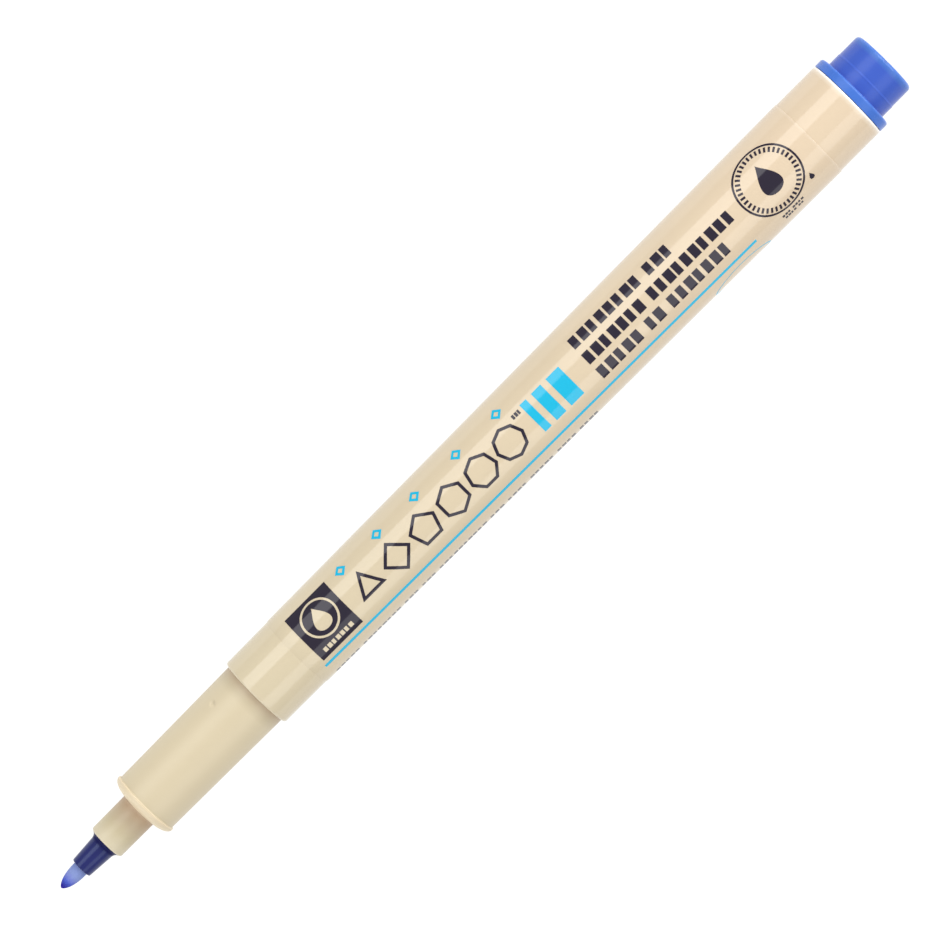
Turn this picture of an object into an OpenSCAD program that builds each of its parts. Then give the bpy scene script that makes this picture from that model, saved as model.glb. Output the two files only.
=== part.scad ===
// Calligraphy marker with its cap off, lying along X: the nib points to -X and the tail to +X.
// The origin is on the surface that the pen lies on, under the middle of its length.
// Places along the pen are distances from the tip of the nib, and outlines are [radius, distance].

/* [Barrel] */
// Distance from the tip of the nib to the barrel's mouth
barrel_start = 30.25; // [29.8:0.05:30.4]
// Length of the barrel
barrel_len = 91.48; // [90.8:0.02:91.8]
// Outside diameter at the mouth
mouth_d = 9.09; // [8.9:0.05:9.3]
// Outside diameter of the plain length at the rear
rear_d = 10.09; // [10:0.03:10.3]
// Length of the plain cylinder at the rear
rear_len = 5.98; // [5:0.02:7]
// Outside corner radius at the mouth
mouth_round = 0.27; // [0.1:0.01:0.35]

/* [Printed film] */
// Distance from the barrel's mouth to the film's front edge
film_inset = 6.3; // [4:0.1:8]
// Thickness of the film
film_t = 0.07; // [0.05:0.01:0.1]
// Gap along the underside between the film's two long edges
film_gap = 1.2; // [0.5:0.1:2]

/* [Front section] */
// Distance from the tip of the nib to the front face of the nose tube
nose_start = 7; // [6.8:0.02:7]
// Outside diameter of the nose tube
nose_d = 4.4; // [4.3:0.05:4.6]
// Distance from the tip of the nib to the front face of the rim
rim_start = 12.2; // [11.8:0.05:12.5]
// Outside diameter of the rim
rim_d = 8.24; // [8.15:0.03:8.3]
// Length of the rim's rounded front
rim_round = 0.9; // [0.5:0.05:1.1]
// Diameter of the grip just behind the rim
grip_front_d = 7.86; // [7.7:0.02:8]
// Diameter of the grip where it meets the barrel
grip_rear_d = 8.17; // [8.1:0.01:8.3]
// Length of the spigot inside the barrel
spigot_len = 14; // [12:0.5:15]

/* [Nib and holder] */
// Length of the rounded point of the nib
point_len = 3; // [2.8:0.05:3.05]
// Diameter of the nib
nib_d = 1.84; // [1.7:0.01:1.85]
// Length of the nib, point and shaft together
nib_len = 14; // [13:0.25:14.5]
// Distance from the tip of the nib to the front of the holder
holder_start = 3.1; // [3.06:0.02:3.3]
// Diameter of the holder at its front
holder_front_d = 2.56; // [2.4:0.04:2.7]
// Diameter of the holder where its shoulder begins
holder_rear_d = 3; // [2.9:0.02:3.1]
// Length of the holder's flared shoulder
shoulder_len = 0.75; // [0.5:0.05:0.9]

/* [Tail plug] */
// Gap that is left between the barrel's end and the flange
flange_gap = 0.04; // [0.02:0.02:0.4]
// Diameter of the flange
flange_d = 10.06; // [9.9:0.02:10.06]
// Thickness of the flange
flange_t = 1.15; // [1:0.05:1.6]
// Diameter of the knob's inner stage
knob_inner_d = 8.17; // [8.14:0.01:8.22]
// Diameter of the knob's outer stage, which a cap fits over
knob_outer_d = 8.09; // [8:0.01:8.13]
// Length of the knob's inner stage
knob_inner_len = 1.7; // [1.2:0.1:1.8]
// Length of the knob's outer stage
knob_outer_len = 2.87; // [2.7:0.01:3.2]
// Corner radius at the end of the knob
knob_round = 0.5; // [0.3:0.05:0.6]

/* [Ink system] */
// Diameter of the wrapped reservoir
reservoir_d = 6.8; // [6.7:0.02:6.8]
// Thickness of the reservoir's plastic wrap
wrap_t = 0.06; // [0.04:0.01:0.1]
// Diameter of the feed wick
wick_d = 2.2; // [2:0.1:2.4]
// Length of wick inside the reservoir
wick_depth = 12; // [8:1:16]

/* [Hidden] */
$fn = 96;

cream = [0.89, 0.83, 0.71];
film_clear = [0.93, 0.88, 0.76];
navy = [0.17, 0.2, 0.45];
violet = [0.5, 0.52, 0.85];
plug_blue = [0.29, 0.42, 0.83];
fibre_white = [0.92, 0.92, 0.9];
ink_blue = [0.2, 0.18, 0.6];
wrap_grey = [0.8, 0.85, 0.9];

running_gap = 0.04;   // radial gap where one piece slides in another
stop_gap = 0.02;      // gap between faces that stop each other
press = 0.02;         // how far the ribs press into the reservoir's wrap
fine_edge = 0.15;     // small broken edge
eps = 0.01;

// Barrel
barrel_end = barrel_start + barrel_len;
taper_end = barrel_end - rear_len;
mouth_bore_r = 3.65;
bore_mid_r = 3.8;
bore_rear_r = 3.98;
plug_bore_r = 4.05;
mouth_bore_end = barrel_start + spigot_len + 0.4;
plug_bore_start = barrel_end - 13;

// Front section
shoulder = barrel_start - stop_gap;
grip_start = rim_start + rim_round + 0.2;
spigot_r = mouth_bore_r - running_gap;
spigot_end = shoulder + spigot_len;
holder_spigot_r = 1.63;
holder_end = 16.5;
nose_bore_end = 14;
hollow_start = 16;
hollow_r = 2.6;
dimple_at = 26.4;       // small moulding mark on the grip
dimple_turn = 38;
dimple_r = 0.62;

// Nib, wick and reservoir
nib_r = nib_d / 2;
wick_r = wick_d / 2;
shoulder_turn = 67;   // angle that the shoulder's concave curve turns through
wick_start = nib_len + stop_gap;
reservoir_r = reservoir_d / 2;
reservoir_start = spigot_end + 0.6;
reservoir_end = plug_bore_start - 0.6;
wick_end = reservoir_start + wick_depth;

// Tail plug
flange_start = barrel_end + flange_gap;
knob_start = flange_start + flange_t;
knob_step = knob_start + knob_inner_len;
pen_len = knob_step + knob_outer_len;
plug_spigot_len = 11.5;
plug_spigot_r = plug_bore_r - 0.12;
bead_r = plug_bore_r - running_gap;
plug_hollow_r = 2.9;

axis_z = sqrt(pow(rear_d / 2 + film_t, 2) - pow(film_gap / 2, 2));

// Outside radius of the bare barrel at a distance x from the tip
function barrel_r(x) =
    mouth_d / 2 + (rear_d - mouth_d) / 2 * min(1, (x - barrel_start) / (taper_end - barrel_start));

// Round corner: an arc of radius r about [cr, cx], from angle a0 to a1, 0 pointing outwards
function corner(cr, cx, r, a0, a1, steps = 6) =
    [for (i = [0:steps]) let (a = a0 + (a1 - a0) * i / steps) [cr + r * cos(a), cx + r * sin(a)]];

// Rounded point: the radius grows from 0 to nib_r over point_len, and stays tangent at its base
function point_r(s) = nib_r * pow(1 - pow(1 - s / point_len, 2.4), 0.65);

// Lays a shape that is made along Z on the pen's axis
module along_pen(x = 0) translate([x - pen_len / 2, 0, axis_z]) rotate([0, 90, 0]) children();

module turned(outline) along_pen() rotate_extrude() polygon(outline);

module bore(x0, x1, r0, r1) along_pen(x0) cylinder(h = x1 - x0, r1 = r0, r2 = r1);

module barrel() color(cream) {
    rib_w = 0.8;
    rib_root = 4.1;
    rib_tip = reservoir_r - press;
    difference() {
        turned(concat(
            [[0, barrel_start]],
            corner(barrel_r(barrel_start) - mouth_round, barrel_start + mouth_round, mouth_round, -90, 0),
            [[rear_d / 2, taper_end]],
            corner(rear_d / 2 - fine_edge, barrel_end - fine_edge, fine_edge, 0, 90),
            [[0, barrel_end]]));
        bore(barrel_start - eps, mouth_bore_end, mouth_bore_r, mouth_bore_r);
        bore(mouth_bore_end - eps, plug_bore_start, bore_mid_r, bore_rear_r);
        bore(plug_bore_start - eps, barrel_end + eps, plug_bore_r, plug_bore_r);
    }
    for (turn = [0:90:270])
        along_pen(reservoir_start) rotate([0, 0, turn])
            translate([rib_tip, -rib_w / 2, 0])
                cube([rib_root - rib_tip, rib_w, reservoir_end - reservoir_start]);
}

module printed_film() color(film_clear) {
    x0 = barrel_start + film_inset;
    half_gap = asin(film_gap / 2 / (rear_d / 2 + film_t));
    along_pen() rotate([0, 0, half_gap]) rotate_extrude(angle = 360 - 2 * half_gap) polygon([
        [barrel_r(x0), x0], [barrel_r(x0) + film_t, x0],
        [rear_d / 2 + film_t, taper_end], [rear_d / 2, taper_end]]);
}

module front_section() color(cream) {
    nose_round = 0.4;
    rim_r = rim_d / 2;
    nose_rear_r = nose_d / 2 + 0.03;
    lip_round = 0.16;
    groove_w = 1.2;
    groove_depth = 0.5;
    groove_len = 12;
    difference() {
        turned(concat(
            [[0, nose_start]],
            corner(nose_d / 2 - nose_round, nose_start + nose_round, nose_round, -90, 0),
            // the rim's front is a quarter of an ellipse
            [for (a = [0:9:90]) [nose_rear_r + (rim_r - nose_rear_r) * sin(a),
                                 rim_start + rim_round * (1 - cos(a))]],
            corner(rim_r - lip_round, grip_start - lip_round - 0.02, lip_round, 0, 75),
            [[grip_front_d / 2, grip_start], [grip_rear_d / 2, shoulder], [spigot_r, shoulder],
             [spigot_r, spigot_end - 0.5], [spigot_r - 0.35, spigot_end], [0, spigot_end]]));
        bore(nose_start - eps, nose_bore_end, holder_spigot_r, holder_spigot_r);
        bore(nose_bore_end - eps, hollow_start, holder_spigot_r, hollow_r);
        bore(hollow_start - eps, spigot_end + eps, hollow_r, hollow_r);
        // air grooves along the outside of the spigot
        for (turn = [90, 270])
            along_pen(spigot_end - groove_len) rotate([0, 0, turn])
                translate([spigot_r - groove_depth, -groove_w / 2, 0])
                    cube([1, groove_w, groove_len + 1]);
        along_pen(dimple_at) rotate([0, 0, 180 - dimple_turn])
            translate([grip_rear_d / 2 + dimple_r - 0.13, 0, 0]) sphere(r = dimple_r);
    }
}

module nib_holder() color(navy) {
    nib_bore_r = nib_r + running_gap;
    groove_w = 0.5;
    flare_r = shoulder_len / sin(shoulder_turn);
    difference() {
        turned(concat(
            [[0, holder_start]],
            corner(holder_front_d / 2 - fine_edge, holder_start + fine_edge, fine_edge, -90, 0),
            corner(holder_rear_d / 2 + flare_r, nose_start - shoulder_len, flare_r,
                   180, 180 - shoulder_turn),
            [[holder_spigot_r, nose_start], [holder_spigot_r, holder_end], [0, holder_end]]));
        bore(holder_start - eps, nib_len + stop_gap / 2, nib_bore_r, nib_bore_r);
        bore(nib_len, holder_end + eps, wick_r, wick_r);
        // air grooves along the spigot
        for (turn = [0, 180])
            along_pen(nose_start + 1) rotate([0, 0, turn])
                translate([holder_spigot_r - 0.2, -groove_w / 2, 0]) cube([1, groove_w, holder_end]);
    }
}

module nib() color(violet) {
    steps = 28;
    turned(concat(
        [for (i = [0:steps]) let (s = point_len * (1 - cos(90 * i / steps))) [point_r(s), s]],
        [[nib_r, nib_len - 0.3], [nib_r - 0.2, nib_len], [0, nib_len]]));
}

module feed_wick() color(ink_blue)
    turned([[0, wick_start], [wick_r, wick_start], [wick_r, wick_end - 1.2], [0.4, wick_end], [0, wick_end]]);

module ink_reservoir() color(fibre_white) difference() {
    bore(reservoir_start, reservoir_end, reservoir_r - wrap_t, reservoir_r - wrap_t);
    bore(reservoir_start - eps, wick_end + 0.3, wick_r + running_gap, wick_r + running_gap);
}

module reservoir_wrap() color(wrap_grey) difference() {
    bore(reservoir_start, reservoir_end, reservoir_r, reservoir_r);
    bore(reservoir_start - eps, reservoir_end + eps, reservoir_r - wrap_t, reservoir_r - wrap_t);
}

module tail_plug() color(plug_blue) {
    flange_round = 0.3;
    seam_bead = 0.015;
    notch_w = 0.36;
    notch_turn = 181.5;
    spigot_start = flange_start - plug_spigot_len;
    seal_len = 0.9;
    outer_r = knob_outer_d / 2;
    inner_r = knob_inner_d / 2;
    difference() {
        union() {
            turned(concat(
                [[0, flange_start]],
                corner(flange_d / 2 - flange_round, flange_start + flange_round, flange_round, -90, 0),
                corner(flange_d / 2 - flange_round, knob_start - flange_round, flange_round, 0, 90),
                [[inner_r, knob_start], [inner_r, knob_step - 0.35], [inner_r + seam_bead, knob_step - 0.2],
                 [outer_r, knob_step]],
                corner(outer_r - knob_round, pen_len - knob_round, knob_round, 0, 90),
                [[0, pen_len]]));
            turned([[0, spigot_start], [plug_spigot_r - 0.4, spigot_start],
                    [plug_spigot_r, spigot_start + 1], [plug_spigot_r, flange_start + eps],
                    [0, flange_start + eps]]);
            for (x = [spigot_start + 3, spigot_start + 8])
                bore(x, x + seal_len, bead_r, bead_r);
        }
        bore(spigot_start - eps, pen_len - 1.2, plug_hollow_r, plug_hollow_r - 0.2);
        // mark left by the moulding gate, on the end's top edge
        along_pen(pen_len - 0.3) rotate([0, 0, notch_turn])
            translate([outer_r - 0.75, -notch_w / 2, 0]) cube([1, notch_w, 1]);
    }
}

barrel();
printed_film();
front_section();
nib_holder();
nib();
feed_wick();
ink_reservoir();
reservoir_wrap();
tail_plug();
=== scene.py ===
import math

import bpy
import numpy as np
from mathutils import Matrix, Vector


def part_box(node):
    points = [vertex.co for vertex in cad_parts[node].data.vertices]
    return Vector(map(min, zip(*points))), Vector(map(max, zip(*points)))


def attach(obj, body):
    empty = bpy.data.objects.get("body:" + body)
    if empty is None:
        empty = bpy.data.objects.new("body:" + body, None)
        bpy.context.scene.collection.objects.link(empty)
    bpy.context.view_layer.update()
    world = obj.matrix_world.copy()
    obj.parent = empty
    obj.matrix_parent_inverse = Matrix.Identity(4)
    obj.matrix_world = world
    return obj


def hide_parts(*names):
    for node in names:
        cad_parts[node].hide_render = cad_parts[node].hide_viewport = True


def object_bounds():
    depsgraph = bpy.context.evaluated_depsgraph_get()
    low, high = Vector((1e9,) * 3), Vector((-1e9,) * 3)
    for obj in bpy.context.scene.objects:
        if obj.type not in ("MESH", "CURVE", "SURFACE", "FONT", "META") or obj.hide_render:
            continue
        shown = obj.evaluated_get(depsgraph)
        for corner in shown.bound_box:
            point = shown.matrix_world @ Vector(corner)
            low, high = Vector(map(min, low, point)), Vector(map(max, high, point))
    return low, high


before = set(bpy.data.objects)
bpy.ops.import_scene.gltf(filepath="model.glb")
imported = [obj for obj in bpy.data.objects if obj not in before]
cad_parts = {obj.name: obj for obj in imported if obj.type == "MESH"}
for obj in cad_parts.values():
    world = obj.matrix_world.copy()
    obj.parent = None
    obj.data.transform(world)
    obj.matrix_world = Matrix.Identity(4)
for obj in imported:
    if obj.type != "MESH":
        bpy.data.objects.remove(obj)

cad_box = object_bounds()

# The pen lies along X. Distances along it are in millimetres from the tip of the nib, angles
# round it are in radians from straight up towards +Y, and radii are in millimetres.
MM = 0.001
TIP_X = cad_box[0].x
PEN_LEN = (cad_box[1].x - cad_box[0].x) / MM
AXIS_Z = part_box("barrel")[1].z / 2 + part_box("barrel")[0].z / 2


def span(node):
    """First and last distance from the tip, and the largest radius, of a node of the frame."""
    lo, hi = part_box(node)
    return (lo.x - TIP_X) / MM, (hi.x - TIP_X) / MM, (hi.y - lo.y) / MM / 2


BARREL_START, BARREL_END, REAR_R = span("barrel")
FILM_START, FILM_END, FILM_REAR_R = span("printed_film")
SECTION_START, SECTION_END, RIM_R = span("front_section")
HOLDER_START, HOLDER_END, FLARE_R = span("nib_holder")
NIB_START, NIB_END, NIB_R = span("nib")
PLUG_START, PLUG_END, FLANGE_R = span("tail_plug")
MOUTH_R = 4.545
FILM_T = FILM_REAR_R - REAR_R


def barrel_radius(x):
    """Outside radius of the bare barrel: a straight taper from the mouth to the film's rear edge."""
    share = np.clip((x - BARREL_START) / (FILM_END - BARREL_START), 0, 1)
    return MOUTH_R + (REAR_R - MOUTH_R) * share


def film_radius(x):
    """Outside radius of the film: the barrel's and the film's thickness."""
    return barrel_radius(x) + FILM_T


# ---------------------------------------------------------------- shapes


def smooth_step(x, x0, x1):
    """0 before x0, 1 after x1, and an S curve between: 3t^2 - 2t^3."""
    t = np.clip((x - x0) / (x1 - x0), 0, 1)
    return t * t * (3 - 2 * t)


def rounded(corners, closed, steps=7):
    """An outline of straight lines whose corners are circular arcs.

    corners holds (distance, radius from the axis, corner radius). An arc of radius c at a corner
    starts and ends c / tan(half the corner's angle) from it. Two points just outside each arc
    hold the straight stretches straight when the surface is shaded smooth.
    """
    spots = np.array([c[:2] for c in corners], float)
    points = []
    for i, (x, r, fillet) in enumerate(corners):
        here = spots[i]
        at_end = not closed and i in (0, len(corners) - 1)
        if at_end or not fillet:
            points.append(here)
            continue
        back = spots[i - 1] - here
        ahead = spots[(i + 1) % len(corners)] - here
        reach = np.linalg.norm(back), np.linalg.norm(ahead)
        back, ahead = back / reach[0], ahead / reach[1]
        half = math.acos(np.clip(back @ ahead, -1, 1)) / 2
        run = min(fillet / math.tan(half), 0.47 * min(reach))
        bisector = (back + ahead) / np.linalg.norm(back + ahead)
        radius = run * math.tan(half)
        centre = here + bisector * radius / math.sin(half)
        first, last = here + back * run - centre, here + ahead * run - centre
        turn = np.linspace(0, 1, steps)[:, None]
        sweep = math.pi - 2 * half
        arc = (np.sin((1 - turn) * sweep) * first + np.sin(turn * sweep) * last) / math.sin(sweep)
        hold = min(0.25 * run, 0.05)
        points.append(here + back * (run + hold))
        points.extend(centre + arc)
        points.append(here + ahead * (run + hold))
    return np.array(points)


def subdivided(outline, longest, closed):
    """The same outline with extra points, so that no stretch is longer than longest."""
    line = np.vstack([outline, outline[:1]]) if closed else outline
    reach = np.linalg.norm(np.diff(line, axis=0), axis=1)
    parts = [np.linspace(line[i], line[i + 1], max(1, math.ceil(reach[i] / longest)), endpoint=False)
             for i in range(len(reach))]
    return np.vstack(parts if closed else parts + [line[-1:]])


def place(x, angle, radius):
    """Points in the row's frame, in metres, from distance, angle and radius."""
    return np.stack([TIP_X + x * MM, radius * np.sin(angle) * MM, AXIS_Z + radius * np.cos(angle) * MM], -1)


def mesh_piece(name, points, faces, body, finish, node=None):
    """A piece from an array of points and a list of faces, shaded smooth, riding on a body."""
    mesh = bpy.data.meshes.new(name)
    mesh.from_pydata(points.reshape(-1, 3).tolist(), [], faces)
    mesh.polygons.foreach_set("use_smooth", np.ones(len(mesh.polygons), bool))
    mesh.update()
    piece = bpy.data.objects.new(name, mesh)
    bpy.context.scene.collection.objects.link(piece)
    mesh.materials.append(finish)
    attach(piece, body)
    if node:
        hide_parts(node)
    return piece


def grid_faces(rows, columns, wrap_rows, wrap_columns=True, first=0):
    """Four-sided faces of a grid of points, numbered row by row from first."""
    i = np.arange(rows if wrap_rows else rows - 1)[:, None]
    j = np.arange(columns if wrap_columns else columns - 1)[None, :]
    i2, j2 = (i + 1) % rows, (j + 1) % columns
    quads = np.stack([i * columns + j, i2 * columns + j, i2 * columns + j2, i * columns + j2], -1)
    return (quads.reshape(-1, 4) + first).tolist()


def turned(name, outline, body, finish, node, turns=192, shape=None, closed=True, gap=0.0):
    """A surface of revolution about the pen's axis.

    Row i is the outline's point i carried round the axis, and column j is the angle 2 pi j / turns.
    A closed outline makes a tube. An open one starts and ends on the axis, in a single point.
    shape(x, angle, radius) may return a changed distance and radius. With a gap, a tube stops that
    angle short of the underside on both sides, and its two ends are flat.
    """
    angle = np.arange(turns) * 2 * math.pi / turns
    if gap:
        angle = np.linspace(math.pi + gap, 3 * math.pi - gap, turns)
    x, angle, radius = np.broadcast_arrays(outline[:, :1], angle, outline[:, 1:])
    if shape:
        x, radius = shape(x, angle, radius)
    points = place(x, angle, radius)
    if gap:
        first = np.arange(len(outline)) * turns
        ends = [first[::-1].tolist(), (first + turns - 1).tolist()]
        faces = grid_faces(len(outline), turns, True, False) + ends
        return mesh_piece(name, points, faces, body, finish, node)
    if closed:
        return mesh_piece(name, points, grid_faces(len(outline), turns, True), body, finish, node)
    rows = points[1:-1]
    ring = np.arange(turns)
    after = np.roll(ring, -1)
    start, end = rows.shape[0] * turns, rows.shape[0] * turns + 1
    last = (rows.shape[0] - 1) * turns
    caps = np.stack([np.full(turns, start), ring, after], -1).tolist()
    caps += np.stack([ring + last, np.full(turns, end), after + last], -1).tolist()
    points = np.vstack([rows.reshape(-1, 3), points[:1, 0], points[-1:, 0]])
    return mesh_piece(name, points, grid_faces(rows.shape[0], turns, False) + caps, body, finish, node)


# ---------------------------------------------------------------- material building blocks


def new_group(name, inputs, outputs):
    """An empty node group with named sockets, its input and output nodes, and its values set."""
    group = bpy.data.node_groups.new(name, "ShaderNodeTree")
    for socket, kind, value in inputs:
        made = group.interface.new_socket(socket, in_out="INPUT", socket_type=kind)
        made.default_value = value
    for socket, kind in outputs:
        group.interface.new_socket(socket, in_out="OUTPUT", socket_type=kind)
    return group, group.nodes.new("NodeGroupInput"), group.nodes.new("NodeGroupOutput")


FLOAT, VECTOR = "NodeSocketFloat", "NodeSocketVector"


def math_node(tree, operation, a, b=None, c=None):
    """One sum of up to three values, each a number or another node's output."""
    node = tree.nodes.new("ShaderNodeMath")
    node.operation = operation
    for socket, value in zip(node.inputs, (a, b, c)):
        if isinstance(value, bpy.types.NodeSocket):
            tree.links.new(value, socket)
        elif value is not None:
            socket.default_value = value
    return node.outputs[0]


def mix_colour(tree, factor, a, b):
    """Colour a where the factor is 0, and b where it is 1."""
    node = tree.nodes.new("ShaderNodeMix")
    node.data_type = "RGBA"
    for socket, value in ((node.inputs[0], factor), (node.inputs[6], a), (node.inputs[7], b)):
        if isinstance(value, bpy.types.NodeSocket):
            tree.links.new(value, socket)
        else:
            socket.default_value = value
    return node.outputs[2]


def noise(tree, vector, scale, detail=2, rough=0.5):
    """Soft random values, scale of them to a metre."""
    node = tree.nodes.new("ShaderNodeTexNoise")
    node.inputs["Scale"].default_value = scale
    node.inputs["Detail"].default_value = detail
    node.inputs["Roughness"].default_value = rough
    tree.links.new(vector, node.inputs["Vector"])
    return node.outputs["Fac"]


def stretched(tree, vector, scale):
    """A position scaled by its own number in each direction."""
    node = tree.nodes.new("ShaderNodeMapping")
    node.inputs["Scale"].default_value = scale
    tree.links.new(vector, node.inputs["Vector"])
    return node.outputs["Vector"]


def ramp(tree, factor, low, high, to_low=0.0, to_high=1.0, smooth=True):
    """to_low below low, to_high above high, and a smooth or straight run between."""
    node = tree.nodes.new("ShaderNodeMapRange")
    node.interpolation_type = "SMOOTHSTEP" if smooth else "LINEAR"
    tree.links.new(factor, node.inputs["Value"])
    for socket, value in zip(("From Min", "From Max", "To Min", "To Max"), (low, high, to_low, to_high)):
        node.inputs[socket].default_value = value
    return node.outputs["Result"]


def moulding_group():
    """Moulded plastic: soft clouds in the colour, flow streaks along the pen, and a fine skin."""
    group, inside, out = new_group(
        "moulded_skin",
        [("Position", VECTOR, (0, 0, 0)), ("Grain size", FLOAT, 0.0002)],
        [("Clouds", FLOAT), ("Skin", FLOAT), ("Smudges", FLOAT)])
    position = inside.outputs["Position"]
    group.links.new(noise(group, position, 90), out.inputs["Clouds"])
    frequency = math_node(group, "DIVIDE", 1.0, inside.outputs["Grain size"])
    fine = group.nodes.new("ShaderNodeTexNoise")
    fine.inputs["Detail"].default_value = 2
    group.links.new(position, fine.inputs["Vector"])
    group.links.new(frequency, fine.inputs["Scale"])
    flow = noise(group, stretched(group, position, (60, 900, 900)), 1)
    skin = math_node(group, "ADD", fine.outputs["Fac"], math_node(group, "MULTIPLY", flow, 0.35))
    group.links.new(skin, out.inputs["Skin"])
    smears = noise(group, stretched(group, position, (110, 260, 260)), 1, 5, 0.65)
    group.links.new(ramp(group, smears, 0.5, 0.78), out.inputs["Smudges"])
    return group


def fibre_group():
    """Bundled fibre: thin light and dark strands along the pen, and pores between them."""
    group, inside, out = new_group(
        "fibre_strands",
        [("Position", VECTOR, (0, 0, 0)), ("Strands per metre", FLOAT, 9000)],
        [("Strands", FLOAT), ("Pores", FLOAT)])
    squeezed = stretched(group, inside.outputs["Position"], (0.04, 1, 1))
    strands = group.nodes.new("ShaderNodeTexNoise")
    strands.inputs["Detail"].default_value = 3
    group.links.new(squeezed, strands.inputs["Vector"])
    group.links.new(inside.outputs["Strands per metre"], strands.inputs["Scale"])
    group.links.new(strands.outputs["Fac"], out.inputs["Strands"])
    pores = group.nodes.new("ShaderNodeTexVoronoi")
    group.links.new(inside.outputs["Position"], pores.inputs["Vector"])
    group.links.new(inside.outputs["Strands per metre"], pores.inputs["Scale"])
    group.links.new(ramp(group, pores.outputs["Distance"], 0.05, 0.5), out.inputs["Pores"])
    return group


MOULDING = moulding_group()
FIBRE = fibre_group()


def new_finish(name, **sockets):
    """A material with one Principled shader, its plain values set on the shader's own sockets."""
    finish = bpy.data.materials.new(name)
    finish.use_nodes = True
    tree = finish.node_tree
    shader = tree.nodes["Principled BSDF"]
    for socket, value in sockets.items():
        shader.inputs[socket.replace("_", " ")].default_value = value
    where = tree.nodes.new("ShaderNodeTexCoord").outputs["Object"]
    return finish, tree, shader, where


def placed_group(tree, group, where, **values):
    """A group set in a material, with this material's own values."""
    node = tree.nodes.new("ShaderNodeGroup")
    node.node_tree = group
    tree.links.new(where, node.inputs["Position"])
    for socket, value in values.items():
        node.inputs[socket.replace("_", " ")].default_value = value
    return node


def bump(tree, shader, height, depth_mm):
    """Relief in the shading: a height of 1 stands depth_mm proud."""
    node = tree.nodes.new("ShaderNodeBump")
    node.inputs["Distance"].default_value = depth_mm * MM
    node.inputs["Strength"].default_value = 1.0
    tree.links.new(height, node.inputs["Height"])
    tree.links.new(node.outputs["Normal"], shader.inputs["Normal"])


def along(tree, where):
    """The distance along the pen in the row's frame, in metres."""
    parts = tree.nodes.new("ShaderNodeSeparateXYZ")
    tree.links.new(where, parts.inputs["Vector"])
    return parts.outputs["X"]


def row_x(x):
    """X in the row's frame, in metres, of a distance in millimetres from the tip."""
    return TIP_X + x * MM


def tinted(colour, *by):
    """A colour with its red, green and blue multiplied by three factors."""
    return tuple(c * f for c, f in zip(colour, by)) + (1.0,)


def zoned(tree, distance, zones):
    """A colour that runs straight from one (distance in mm, colour) of zones to the next."""
    first, last = row_x(zones[0][0]), row_x(zones[-1][0])
    node = tree.nodes.new("ShaderNodeValToRGB")
    tree.links.new(ramp(tree, distance, first, last, smooth=False), node.inputs["Fac"])
    elements = node.color_ramp.elements
    while len(elements) < len(zones):
        elements.new(1.0)
    for element, (x, colour) in zip(elements, zones):
        element.position = (row_x(x) - first) / (last - first)
        element.color = colour
    return node.outputs["Color"]


CLOUDS = 0.03
SMUDGES = 0.06


def plastic(name, zones, gloss, grain_mm, depth_mm, shine=(1, 1, 1, 1), index=1.5, dull=None):
    """Moulded plastic whose colour changes along the pen, with a shine of its own colour.

    The colour is multiplied by 1 - CLOUDS + 2 CLOUDS x clouds, and the roughness is gloss +
    SMUDGES x smudges. dull holds the two distances between which the shine fades out.
    """
    finish, tree, shader, where = new_finish(name, IOR=index, Specular_Tint=shine)
    skin = placed_group(tree, MOULDING, where, Grain_size=grain_mm * MM)
    base = zoned(tree, along(tree, where), zones)
    cloudy = math_node(tree, "MULTIPLY_ADD", skin.outputs["Clouds"], 2 * CLOUDS, 1 - CLOUDS)
    dim = tree.nodes.new("ShaderNodeVectorMath")
    dim.operation = "SCALE"
    tree.links.new(base, dim.inputs[0])
    tree.links.new(cloudy, dim.inputs["Scale"])
    tree.links.new(dim.outputs["Vector"], shader.inputs["Base Color"])
    smeared = math_node(tree, "MULTIPLY_ADD", skin.outputs["Smudges"], SMUDGES, gloss)
    tree.links.new(smeared, shader.inputs["Roughness"])
    bump(tree, shader, skin.outputs["Skin"], depth_mm)
    if dull:
        faded = ramp(tree, along(tree, where), row_x(dull[0]), row_x(dull[1]), 0.5, 0.04)
        tree.links.new(faded, shader.inputs["Specular IOR Level"])
    return finish


def stained_fibre(name, strands, dark=None, light=None, zones=None):
    """Fibre soaked in ink: dark and light strands, or zones along the pen with uneven edges."""
    finish, tree, shader, where = new_finish(name, IOR=1.45, Specular_IOR_Level=0.3)
    fibre = placed_group(tree, FIBRE, where, Strands_per_metre=strands)
    if zones:
        uneven = math_node(tree, "MULTIPLY_ADD", fibre.outputs["Strands"], 0.9 * MM, -0.45 * MM)
        colour = zoned(tree, math_node(tree, "ADD", along(tree, where), uneven), zones)
    else:
        colour = mix_colour(tree, fibre.outputs["Strands"], dark, light)
    tree.links.new(colour, shader.inputs["Base Color"])
    tree.links.new(ramp(tree, fibre.outputs["Pores"], 0, 1, 0.65, 0.85), shader.inputs["Roughness"])
    bump(tree, shader, fibre.outputs["Strands"], 0.01)
    return finish


# ---------------------------------------------------------------- finishes

CREAM_FRONT = (0.499, 0.430, 0.297, 1)
CREAM_REAR = (0.546, 0.437, 0.311, 1)
CREAM_GRIP = (0.505, 0.432, 0.295, 1)
NAVY = (0.0148, 0.0172, 0.102, 1)
# The flange's blue is painted lighter than the knob's: painted light.
FLANGE_PAINTED_LIGHT_BLUE = (0.044, 0.126, 0.45, 1)
KNOB_BLUE = (0.037, 0.083, 0.395, 1)
# The end edge's blue is a painted highlight.
EDGE_HIGHLIGHT_BLUE = (0.052, 0.137, 0.44, 1)
DARK_INK = (0.013, 0.009, 0.021, 1)
CYAN_INK = (0.004, 0.36, 0.55, 1)
WRAP_TINT = (0.5, 0.55, 0.7, 1)

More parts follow.
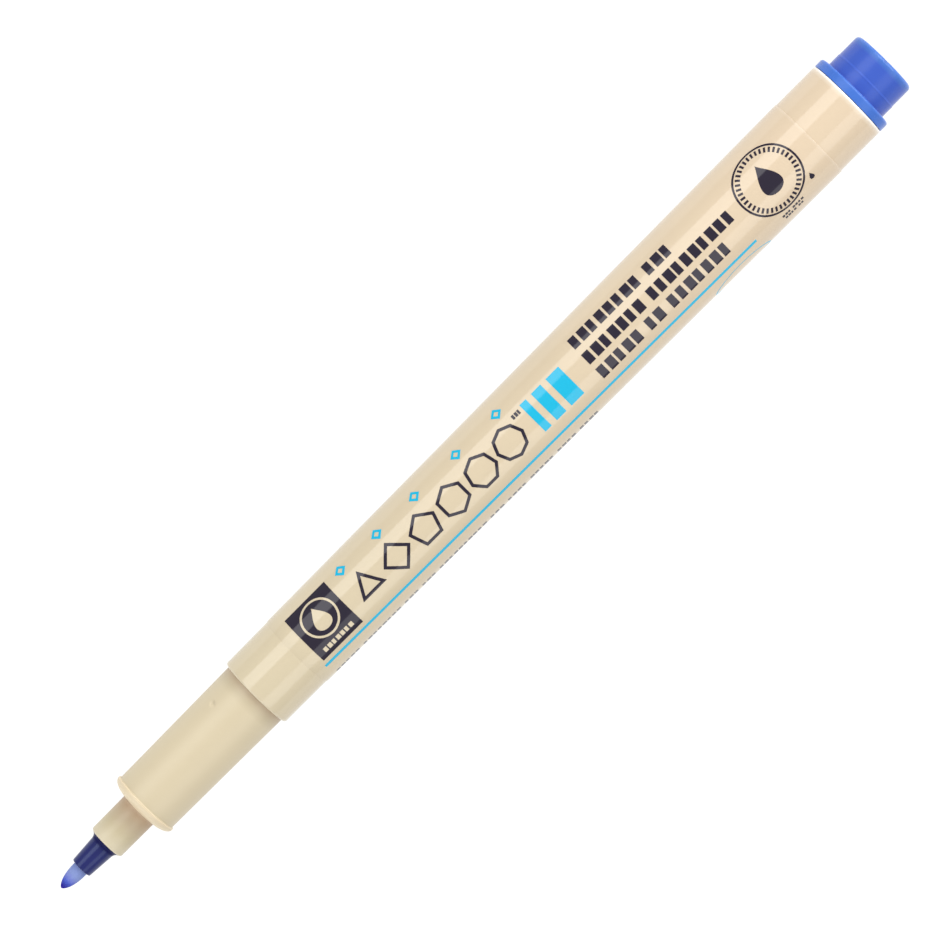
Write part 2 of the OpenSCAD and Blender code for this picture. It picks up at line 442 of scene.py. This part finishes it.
RIM_START, RIM_ROUND = 12.2, 0.9
GRIP_START = RIM_START + RIM_ROUND + 0.2
FLANGE_START = BARREL_END + 0.04
SHOULDER_LEN = 0.75

# The wall is thin at the mouth and round and polished at the tail. Both edges are painted paler as painted
# highlights: the mouth's edge a little, and the tail's last 0.4 mm up to near white.
barrel_zones = [
    # painted highlight on the mouth's edge
    (BARREL_START, tinted(CREAM_FRONT, 1.12, 1.14, 1.18)),
    (BARREL_START + 0.25, CREAM_FRONT),
    (BARREL_END - 0.42, CREAM_REAR),
    # painted highlight on the barrel's rear edge, near white at the end
    (BARREL_END - 0.24, (0.72, 0.67, 0.58, 1)),
    (BARREL_END, (0.85, 0.84, 0.82, 1))]
barrel_finish = plastic("barrel_cream", barrel_zones, 0.09, 0.6, 0.0006, index=1.57)

# The film's cut rear edge is painted a little paler: a painted highlight where the edge catches light.
film_zones = [
    (BARREL_START, CREAM_FRONT),
    (FILM_END - 0.22, CREAM_REAR),
    # painted highlight on the film's rear edge
    (FILM_END - 0.14, tinted(CREAM_REAR, 1.05, 1.08, 1.13)),
    (FILM_END, tinted(CREAM_REAR, 1.05, 1.08, 1.13))]
film_finish = plastic("clear_film_on_cream", film_zones, 0.075, 0.9, 0.0006, index=1.57)

# Painted shade and highlights: the nose tube is painted warmer and darker towards the rim, as painted shade
# where the rim blocks light. The grip is painted darker at the barrel's mouth, as a painted shadow of the
# mouth's step. The nose's front edge, the rim and the rim's rear lip are painted pale, as painted
# highlights.
grip_zones = [
    # painted highlight on the nose tube's front edge
    (SECTION_START, tinted(CREAM_GRIP, 1.2, 1.25, 1.35)),
    (SECTION_START + 0.3, tinted(CREAM_GRIP, 1, 1.03, 1.06)),
    (SECTION_START + 0.7, tinted(CREAM_GRIP, 1, 1.03, 1.06)),
    # painted shade on the nose tube, darkening towards the rim
    (RIM_START - 3.1, tinted(CREAM_GRIP, 0.90, 0.90, 0.86)),
    (RIM_START - 1.6, tinted(CREAM_GRIP, 0.88, 0.82, 0.80)),
    (RIM_START - 0.4, tinted(CREAM_GRIP, 0.83, 0.70, 0.65)),
    (RIM_START - 0.05, tinted(CREAM_GRIP, 0.83, 0.69, 0.64)),
    # painted highlights on the rim's bead and its rear lip
    (RIM_START + 0.05, tinted(CREAM_GRIP, 1.24, 1.22, 1.22)),
    (GRIP_START - 0.3, tinted(CREAM_GRIP, 1.2, 1.18, 1.2)),
    (GRIP_START - 0.05, tinted(CREAM_GRIP, 1.15, 1.11, 1.09)),
    (GRIP_START + 0.05, CREAM_GRIP),
    (BARREL_START - 1.9, CREAM_GRIP),
    # painted shadow on the grip before the barrel's mouth
    (BARREL_START - 1.0, tinted(CREAM_GRIP, 0.88, 0.87, 0.86)),
    (BARREL_START, tinted(CREAM_GRIP, 0.87, 0.79, 0.77)),
    (BARREL_START + 0.2, CREAM_GRIP)]
grip_finish = plastic("satin_cream", grip_zones, 0.42, 0.12, 0.0016)

# The shoulder is darker and duller where it flares.
flare_navy = tinted(NAVY, 0.6, 0.55, 0.6)
flare_zone = (SECTION_START - SHOULDER_LEN, SECTION_START - 0.4)
holder_zones = [
    (HOLDER_START, NAVY),
    (flare_zone[0], NAVY),
    (flare_zone[1], flare_navy),
    (SECTION_START, flare_navy)]
holder_finish = plastic("navy_plastic", holder_zones, 0.18, 0.3, 0.001, shine=(0.7, 0.85, 1, 1),
                        index=1.42, dull=flare_zone)

# The flange and the knob's end edge are thinner than the knob, and painted lighter: painted light on the
# thin flange, and a painted highlight on the end edge.
plug_zones = [
    # painted light on the spigot and flange
    (PLUG_START, FLANGE_PAINTED_LIGHT_BLUE),
    (FLANGE_START + 1.1, FLANGE_PAINTED_LIGHT_BLUE),
    (FLANGE_START + 1.2, KNOB_BLUE),
    (PLUG_END - 1.0, KNOB_BLUE),
    # painted highlight on the knob's end edge
    (PLUG_END - 0.6, tinted(EDGE_HIGHLIGHT_BLUE, 0.9, 0.88, 0.93)),
    (PLUG_END, EDGE_HIGHLIGHT_BLUE)]
plug_finish = plastic("blue_plastic", plug_zones, 0.25, 0.4, 0.0008, shine=(0.8, 0.9, 1, 1), index=1.38)

# Ink gathers in the nib's very tip.
nib_zones = [
    (0.3, (0.008, 0.001, 0.22, 1)),
    (0.98, (0.054, 0.085, 0.44, 1)),
    (1.53, (0.150, 0.184, 0.49, 1)),
    (2.07, (0.184, 0.238, 0.48, 1)),
    (2.7, (0.180, 0.235, 0.49, 1))]
nib_finish = stained_fibre("inked_nib", 14000, zones=nib_zones)
wick_finish = stained_fibre("inked_wick", 9000, (0.012, 0.01, 0.1, 1), (0.05, 0.05, 0.3, 1))
reservoir_finish = stained_fibre("inked_reservoir", 6000, (0.03, 0.03, 0.22, 1), (0.16, 0.18, 0.5, 1))
wrap_finish = plastic("reservoir_wrap_film", [(40, WRAP_TINT), (110, WRAP_TINT)], 0.2, 0.5, 0.001)
dark_ink = plastic("dark_ink", [(FILM_START, DARK_INK), (FILM_END, DARK_INK)], 0.09, 0.5, 0.0005)
cyan_ink = plastic("cyan_ink", [(FILM_START, CYAN_INK), (FILM_END, CYAN_INK)], 0.09, 0.5, 0.0005)

for node, finish in (("feed_wick", wick_finish), ("ink_reservoir", reservoir_finish),
                     ("reservoir_wrap", wrap_finish)):
    for material_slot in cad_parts[node].material_slots:
        material_slot.material = finish

# ---------------------------------------------------------------- pieces

MOUTH_BORE_R, PLUG_BORE_R = 3.65, 4.05
MIDDLE_FRONT_R, MIDDLE_REAR_R = 3.8, 3.98
MOUTH_BORE_END, PLUG_BORE_START = BARREL_START + 14.4, BARREL_END - 13
RESERVOIR_START, RESERVOIR_END, RESERVOIR_R = span("reservoir_wrap")


def with_ribs(x, angle, radius):
    """Four ribs in the middle bore: the inner radius drops to the reservoir's within 0.4 mm of each."""
    inner = (radius < PLUG_BORE_R - 0.02) & (x > RESERVOIR_START) & (x < RESERVOIR_END)
    quarter = math.pi / 2
    offset = (angle + quarter / 2) % quarter - quarter / 2
    on_rib = 1 - smooth_step(np.abs(offset) * radius, 0.36, 0.5)
    return x, np.where(inner, radius + (RESERVOIR_R - 0.02 - radius) * on_rib, radius)


barrel_outline = rounded([
    (BARREL_START, MOUTH_R, 0.27), (FILM_END, REAR_R, 0), (BARREL_END, REAR_R, 0.15),
    (BARREL_END, PLUG_BORE_R, 0.08), (PLUG_BORE_START, PLUG_BORE_R, 0.02),
    (PLUG_BORE_START, MIDDLE_REAR_R, 0.02), (MOUTH_BORE_END, MIDDLE_FRONT_R, 0.02),
    (MOUTH_BORE_END, MOUTH_BORE_R, 0.02),
    (BARREL_START, MOUTH_BORE_R, 0.08)], closed=True)
turned("barrel_tube", subdivided(barrel_outline, 1.0, True), "barrel", barrel_finish,
       "barrel", shape=with_ribs)

HALF_FILM_GAP = 0.6
FILM_FRONT_SLOPE = 0.35
film_outline = rounded([
    (FILM_START + FILM_FRONT_SLOPE, film_radius(FILM_START), 0), (FILM_END, FILM_REAR_R, 0.03),
    (FILM_END, REAR_R, 0), (FILM_START, barrel_radius(FILM_START), 0)], closed=True, steps=4)
film_sleeve = turned("film_sleeve", subdivided(film_outline, 1.0, True), "barrel", film_finish,
                     "printed_film", turns=256, gap=math.asin(HALF_FILM_GAP / FILM_REAR_R))
film_sleeve.data.set_sharp_from_angle(angle=math.radians(40))

SHOULDER = BARREL_START - 0.02
NOSE_R, NOSE_BORE_R = 2.2, 1.63
GRIP_FRONT_R, GRIP_REAR_R = 3.93, 4.085
SPIGOT_R, SPIGOT_BORE_R = MOUTH_BORE_R - 0.04, 2.6
CONE_START, CONE_END = 14, 16
DIMPLE_AT, DIMPLE_ANGLE, DIMPLE_R, DIMPLE_DEPTH = 26.4, math.radians(38), 0.38, 0.13


def with_dimple_and_grooves(x, angle, radius):
    """A round dimple on the grip, and two air grooves 0.5 mm deep down the sides of the spigot.

    At a distance of d dimple radii from its middle, the dimple is DIMPLE_DEPTH (1 - d^2) deep.
    """
    across = ((angle - DIMPLE_ANGLE + math.pi) % (2 * math.pi) - math.pi) * radius
    spot = np.hypot(x - DIMPLE_AT, across) / DIMPLE_R
    on_grip = (radius > 3.5) & (x < SHOULDER - 0.5)
    dented = np.where(on_grip, DIMPLE_DEPTH * np.clip(1 - spot ** 2, 0, 1), 0)
    side = np.abs(np.cos(angle)) * radius
    groove = (1 - smooth_step(side, 0.52, 0.66)) * smooth_step(x, SECTION_END - 12.2, SECTION_END - 12)
    on_spigot = (radius > 3) & (x > SHOULDER + 0.1)
    return x, radius - dented - np.where(on_spigot, 0.5 * groove, 0)


NOSE_REAR_R = NOSE_R + 0.03
nose = rounded([
    (CONE_START, NOSE_BORE_R, 0), (SECTION_START, NOSE_BORE_R, 0.05), (SECTION_START, NOSE_R, 0.4),
    (RIM_START, NOSE_REAR_R, 0)], closed=False)

# The rim's front is a quarter of an ellipse. At an angle t of it, the distance is
# RIM_START + RIM_ROUND (1 - cos t) and the radius NOSE_REAR_R + (RIM_R - NOSE_REAR_R) sin t.
bead_turn = np.linspace(0, math.pi / 2, 14)
bead = np.stack([RIM_START + RIM_ROUND * (1 - np.cos(bead_turn)),
                 NOSE_REAR_R + (RIM_R - NOSE_REAR_R) * np.sin(bead_turn)], -1)

# Close rows hold the dimple, on the straight taper of the grip.
dimple_rows = [(x, np.interp(x, (GRIP_START, SHOULDER), (GRIP_FRONT_R, GRIP_REAR_R)), 0)
               for x in np.linspace(DIMPLE_AT - 0.45, DIMPLE_AT + 0.45, 13)]
grip = rounded([
    (RIM_START + RIM_ROUND, RIM_R, 0), (GRIP_START - 0.02, RIM_R, 0.16), (GRIP_START, GRIP_FRONT_R, 0.05),
    *dimple_rows, (SHOULDER, GRIP_REAR_R, 0.02), (SHOULDER, SPIGOT_R, 0.04),
    (SECTION_END - 0.5, SPIGOT_R, 0.05), (SECTION_END, SPIGOT_R - 0.35, 0.04),
    (SECTION_END, SPIGOT_BORE_R, 0.04), (CONE_END, SPIGOT_BORE_R, 0.1), (CONE_START, NOSE_BORE_R, 0)],
    closed=False)
section_outline = np.vstack([nose[:-1], bead, grip[1:-1]])
turned("grip_section", subdivided(section_outline, 0.4, True), "front_section", grip_finish,
       "front_section", shape=with_dimple_and_grooves, turns=256)

SHOULDER_TURN = math.radians(67)
HOLDER_FRONT_R, HOLDER_REAR_R, HOLDER_SPIGOT_R = 1.28, 1.5, NOSE_BORE_R
NIB_HOLE_R, WICK_HOLE_R = NIB_R + 0.04, 1.1
NIB_STOP = NIB_END + 0.01


def with_air_grooves(x, angle, radius):
    """Two grooves 0.2 mm deep along the top and bottom of the holder's hidden spigot."""
    side = np.abs(np.sin(angle)) * radius
    groove = (1 - smooth_step(side, 0.22, 0.32)) * smooth_step(x, SECTION_START + 0.95, SECTION_START + 1.05)
    return x, radius - np.where(radius > 1.4, 0.2 * groove, 0)


# The shoulder flares along an arc that leaves the collar's side and ends SHOULDER_TURN off it. Its
# radius is SHOULDER_LEN / sin(SHOULDER_TURN).
curve = np.linspace(0, SHOULDER_TURN, 9)
flare_r = SHOULDER_LEN / math.sin(SHOULDER_TURN)
flare = np.stack([SECTION_START - SHOULDER_LEN + flare_r * np.sin(curve),
                  HOLDER_REAR_R + flare_r * (1 - np.cos(curve))], -1)
front = rounded([
    (HOLDER_START, NIB_HOLE_R, 0.03), (HOLDER_START, HOLDER_FRONT_R, 0.15),
    (SECTION_START - SHOULDER_LEN, HOLDER_REAR_R, 0)], closed=False)
back = rounded([
    (SECTION_START, FLARE_R, 0), (SECTION_START, HOLDER_SPIGOT_R, 0.03),
    (HOLDER_END, HOLDER_SPIGOT_R, 0.05), (HOLDER_END, WICK_HOLE_R, 0.03),
    (NIB_STOP, WICK_HOLE_R, 0.01), (NIB_STOP, NIB_HOLE_R, 0.01)], closed=False)
holder_outline = np.vstack([front[:-1], flare, back[1:]])
turned("nib_collar", subdivided(holder_outline, 0.3, True), "front_section", holder_finish,
       "nib_holder", shape=with_air_grooves)

# At a distance x from the tip, the point's radius is NIB_R (1 - (1 - x / POINT_LEN)^2.4)^0.65.
POINT_LEN = 3.0
sweep = np.linspace(0, math.pi / 2, 40)
point_x = POINT_LEN * (1 - np.cos(sweep))
point_r = NIB_R * (1 - (1 - point_x / POINT_LEN) ** 2.4) ** 0.65
shaft = np.array([(NIB_END - 0.3, NIB_R), (NIB_END, NIB_R - 0.2), (NIB_END, 0)])
nib_outline = np.vstack([np.stack([point_x, point_r], -1), shaft])
turned("nib_point", subdivided(nib_outline, 0.4, False), "nib", nib_finish, "nib",
       turns=128, closed=False)

KNOB_INNER_R, KNOB_OUTER_R, KNOB_ROUND = 4.085, 4.045, 0.5
KNOB_START = FLANGE_START + 1.15
KNOB_STEP = KNOB_START + 1.7
BEAD_R, PLUG_SPIGOT_R = PLUG_BORE_R - 0.04, PLUG_BORE_R - 0.12
HOLLOW_END, HOLLOW_END_R, HOLLOW_MOUTH_R = PLUG_END - 1.2, 2.7, 2.9
NOTCH_ANGLE = math.radians(-1.5)


def with_gate_notch(x, angle, radius):
    """A notch 0.36 mm wide and 0.3 mm deep in the end's top edge."""
    across = np.abs((angle - NOTCH_ANGLE + math.pi) % (2 * math.pi) - math.pi) * radius
    cut = (1 - smooth_step(across, 0.14, 0.22)) * smooth_step(radius, KNOB_OUTER_R - 0.8, KNOB_OUTER_R - 0.7)
    return np.where(x > PLUG_END - 0.3, x + (PLUG_END - 0.3 - x) * cut, x), radius


plug_corners = [
    (HOLLOW_END, 0, 0), (HOLLOW_END, HOLLOW_END_R, 0.3), (PLUG_START, HOLLOW_MOUTH_R, 0.1),
    (PLUG_START, PLUG_SPIGOT_R - 0.4, 0.1), (PLUG_START + 1, PLUG_SPIGOT_R, 0.1)]
for bead_start in (PLUG_START + 3, PLUG_START + 8):
    bead_end = bead_start + 0.9
    plug_corners += [(bead_start, PLUG_SPIGOT_R, 0.02), (bead_start, BEAD_R, 0.05),
                     (bead_end, BEAD_R, 0.05), (bead_end, PLUG_SPIGOT_R, 0.02)]
plug_corners += [
    (FLANGE_START, PLUG_SPIGOT_R, 0.03), (FLANGE_START, FLANGE_R, 0.08), (KNOB_START, FLANGE_R, 0.3),
    (KNOB_START, KNOB_INNER_R, 0.08), (KNOB_STEP - 0.35, KNOB_INNER_R, 0.05),
    (KNOB_STEP - 0.2, KNOB_INNER_R + 0.015, 0.05), (KNOB_STEP, KNOB_OUTER_R, 0.05),
    (PLUG_END, KNOB_OUTER_R, KNOB_ROUND), (PLUG_END, 0, 0)]
turned("end_plug", subdivided(rounded(plug_corners, closed=False), 0.35, False), "tail_plug", plug_finish,
       "tail_plug", turns=256, shape=with_gate_notch, closed=False)

# ---------------------------------------------------------------- print
# The print is laid out flat: x is the distance along the pen and s the distance round it from the
# top line, both in millimetres, with s growing towards +Y.


def bar(x0, x1, s0, s1, s_end=None):
    """A rectangle from (x0, s0) to (x1, s1). With s_end, its middle runs to s_end at the far end.

    It has a row every millimetre along the pen and a column every 0.12 mm round it.
    """
    u = np.linspace(0, 1, max(2, math.ceil(x1 - x0) + 1))[:, None]
    v = np.linspace(0, 1, max(2, math.ceil((s1 - s0) / 0.12)))[None, :]
    drift = 0 if s_end is None else (s_end - (s0 + s1) / 2) * u
    return x0 + (x1 - x0) * u + 0 * v, s0 + (s1 - s0) * v + drift, False


def ring(x, s, radius, width, sides=0, turn=0.0, squash=1.0):
    """A round or many-sided outline of an even width.

    With n sides, the outside at an angle a from the middle of a side is R cos(pi / n) / cos(a) away.
    """
    columns = (sides * 12) if sides else 96
    a = np.arange(columns) * 2 * math.pi / columns
    reach, inset = radius + 0 * a, width
    if sides:
        half = math.pi / sides
        reach = radius * math.cos(half) / np.cos(a % (2 * half) - half)
        inset = width / math.cos(half)
    r = reach * np.linspace(1 - inset / radius, 1, 4)[:, None]
    return x + r * np.cos(a + turn), s + squash * r * np.sin(a + turn), True


def drop(x, s, wide, tall):
    """A drop with its point up. On a unit disc (a, b) it is wide a (1 - b)^0.8 by tall b."""
    u, v = np.meshgrid(np.linspace(-1, 1, 21), np.linspace(-1, 1, 21), indexing="ij")
    a, b = u * np.sqrt(1 - v * v / 2), v * np.sqrt(1 - u * u / 2)
    return x + wide / 2.4 * a * (1 - b) ** 0.8, s + tall / 2 * b, False


def printed(name, marks, ink, lift=0.012, sunk=0.008):
    """Flat marks wrapped on the film as thin closed plates, joined in one piece.

    A mark's angle is s / r(x), where r(x) is the film's radius. Its face lies lift above the film
    and its back sunk below it.
    """
    points, faces, first = [], [], 0
    for x, s, closed in marks:
        rows, columns = x.shape
        count = rows * columns
        angle = s / film_radius(x)
        points += [place(x, angle, film_radius(x) + lift).reshape(-1, 3),
                   place(x, angle, film_radius(x) - sunk).reshape(-1, 3)]
        faces += grid_faces(rows, columns, False, closed, first)
        faces += [face[::-1] for face in grid_faces(rows, columns, False, closed, first + count)]
        index = np.arange(count).reshape(rows, columns)
        if closed:
            edges = [np.append(index[-1], index[-1, 0]), np.append(index[0, ::-1], index[0, -1])]
        else:
            edges = [np.concatenate([index[:-1, 0], index[-1, :-1], index[:0:-1, -1], index[0, ::-1]])]
        for edge in edges:
            a, b = edge[:-1] + first, edge[1:] + first
            faces += np.stack([a, a + count, b + count, b], -1).tolist()
        first += 2 * count
    piece = mesh_piece(name, np.vstack(points), faces, "barrel", ink)
    piece.data.set_sharp_from_angle(angle=math.radians(40))
    return piece


def row_of_blocks(x, s0, s1, words, pitch, gap):
    """A line of plain blocks in groups. Block k is pitch (0.72 + 0.1 sin 2.3k) wide."""
    marks, k = [], 0
    for count in words:
        for _ in range(count):
            marks.append(bar(x, x + pitch * (0.72 + 0.1 * math.sin(2.3 * k)), s0, s1))
            x += pitch
            k += 1
        x += gap
    return marks


printed("print_block", [bar(38.31, 44.37, -2.98, 3.62)], dark_ink)
printed("print_emblem",
        [ring(41.36, 0.85, 2.25, 0.26), drop(41.36, 0.85, 2.1, 2.9)]
        + row_of_blocks(39.16, -2.42, -1.85, [7], 0.64, 0), film_finish, lift=0.02)
printed("print_rule", [bar(37.99, 103.8, -3.94, -3.56, -4.33)], cyan_ink)
printed("print_lozenges", [ring(x, 3.08, 0.78, 0.3, 4) for x in (46.5, 52.1, 57.9, 64.3, 70.5)], cyan_ink)
printed("print_shapes",
        [ring(47.7 + 4.35 * k, -0.4, 2.05, 0.36, 3 + k, math.pi / 2) for k in range(6)], dark_ink)
printed("print_bars", [bar(73.0, 73.95, -2.38, 1.78), bar(74.75, 76.2, -2.38, 1.78),
                       bar(77.0, 78.95, -2.38, 1.78)], cyan_ink)
printed("print_rows",
        row_of_blocks(81.56, 1.74, 3.25, [8, 3], 1.315, 0.8)
        + row_of_blocks(81.56, -0.58, 0.86, [7, 10], 1.28, 0.8)
        + row_of_blocks(81.56, -2.86, -1.34, [5, 2, 7], 1.31, 0.8)
        + row_of_blocks(71.47, 1.05, 1.6, [3], 0.42, 0), dark_ink)
printed("print_swoosh", [ring(100.76, -7.1, 4.2, 0.24, squash=0.4)], cyan_ink)

SEAL_X, SEAL_S, TICKS = 109.27, -0.15, 40


def tick(angle, near, far, wide):
    """A short tick that points at the seal's middle, from near to far of it."""
    u, v = np.meshgrid(np.linspace(near, far, 3), np.linspace(-wide / 2, wide / 2, 3), indexing="ij")
    return (SEAL_X + u * math.cos(angle) - v * math.sin(angle),
            SEAL_S + u * math.sin(angle) + v * math.cos(angle), False)


printed("print_seal",
        [ring(SEAL_X, SEAL_S, 4.1, 0.24), drop(SEAL_X, SEAL_S + 0.25, 2.6, 3.9),
         drop(SEAL_X + 3.68, SEAL_S - 3.15, 0.6, 0.9)]
        + [tick(2 * math.pi * k / TICKS, 3.1, 3.7, 0.26) for k in range(TICKS)]
        + row_of_blocks(107.6, -4.95, -4.62, [3, 4], 0.42, 0.25)
        + row_of_blocks(107.8, -5.5, -5.15, [4, 2], 0.42, 0.25), dark_ink)
printed("print_fine_row",
        row_of_blocks(38.35, -7.0, -6.15, [5, 8, 3, 3, 10, 3, 4, 5, 4, 4], 0.732, 0.5), dark_ink)

# ---------------------------------------------------------------- floor, light and camera


def floor():
    """A plain white floor that glows a little, so that it stays pale right up to the pen."""
    finish, tree, shader, where = new_finish("white_floor", Roughness=0.9)
    paper = mix_colour(tree, noise(tree, where, 40), (0.09, 0.09, 0.09, 1), (0.11, 0.11, 0.11, 1))
    tree.links.new(paper, shader.inputs["Base Color"])
    shader.inputs["Emission Color"].default_value = (1, 1, 1, 1)
    shader.inputs["Emission Strength"].default_value = 0.95
    reach = 6.0
    mesh = bpy.data.meshes.new("floor")
    mesh.from_pydata([(-reach, -reach, 0), (reach, -reach, 0), (reach, reach, 0), (-reach, reach, 0)],
                     [], [(0, 1, 2, 3)])
    mesh.materials.append(finish)
    piece = bpy.data.objects.new("floor", mesh)
    bpy.context.scene.collection.objects.link(piece)


def soft_box(name, towards, distance, length, width, radiance, beside=(1, 0, 0)):
    """A plain panel of light that faces the pen, its length along beside.

    Its power is radiance x pi x area.
    """
    light = bpy.data.lights.new(name, "AREA")
    light.shape = "RECTANGLE"
    light.size, light.size_y = length, width
    light.energy = radiance * math.pi * length * width
    lamp = bpy.data.objects.new(name, light)
    lamp.visible_camera = False
    away = Vector(towards).normalized()
    side = Vector(beside)
    turn = Matrix((side, away.cross(side), away)).transposed()
    lamp.matrix_world = Matrix.Translation(away * distance + Vector((0, 0, AXIS_Z))) @ turn.to_4x4()
    bpy.context.scene.collection.objects.link(lamp)


def strip_light(name, lean_low, lean_high, radiance, distance=0.36):
    """A long soft box parallel to the pen, between two angles from straight up: 2 d tan(half) wide."""
    lean = math.radians(lean_low + lean_high) / 2
    half = math.radians(abs(lean_high - lean_low)) / 2
    width = 2 * distance * math.tan(half)
    soft_box(name, (0, math.sin(lean), math.cos(lean)), distance, 0.9, width, radiance)


def end_light(name, direction, rise, radiance, distance=0.6):
    """A soft box beyond one end of the pen, rising at an angle from the floor."""
    up = math.radians(rise)
    soft_box(name, (direction * math.cos(up), 0, math.sin(up)), distance, 0.6, 0.26, radiance, (0, 1, 0))


def camera():
    """Looks down on the pen from above its rear half, rolled so that the tail is at the upper right."""
    above, behind_middle, frame_width, tilt = 0.665, 0.0245, 0.10373, 45.1
    aim = Vector((TIP_X + PEN_LEN * MM / 2 + 0.00035, -0.00018, AXIS_Z))
    eye = aim + Vector((behind_middle, 0.0003, above))
    data = bpy.data.cameras.new("camera")
    data.lens = data.sensor_width * (eye - aim).length / frame_width
    data.clip_start, data.clip_end = 0.05, 20
    seen = bpy.data.objects.new("camera", data)
    back = (eye - aim).normalized()
    along_pen = Vector((1, 0, 0))
    along_pen = (along_pen - back * along_pen.dot(back)).normalized()
    up_from_pen = back.cross(along_pen)
    roll = math.radians(tilt)
    right = along_pen * math.cos(roll) - up_from_pen * math.sin(roll)
    turn = Matrix((right, back.cross(right), back)).transposed()
    seen.matrix_world = Matrix.Translation(eye) @ turn.to_4x4()
    bpy.context.scene.collection.objects.link(seen)
    bpy.context.scene.camera = seen


def studio():
    """A white sky, a bright and a weaker strip, and plain colours."""
    scene = bpy.context.scene
    scene.view_settings.view_transform = "Standard"
    scene.view_settings.look = "None"
    world = bpy.data.worlds.new("studio")
    scene.world = world
    world.use_nodes = True
    sky = world.node_tree.nodes["Background"]
    sky.inputs["Color"].default_value = (1, 1, 1, 1)
    sky.inputs["Strength"].default_value = 0.50
    strip_light("bright_strip", 18, 50.5, 2.04)
    strip_light("weak_strip", -30.2, -60.6, 1.31)
    end_light("tail_box", 1, 27, 7.5)
    end_light("nose_box", -1, 14, 2.6)
    floor()


studio()
camera()
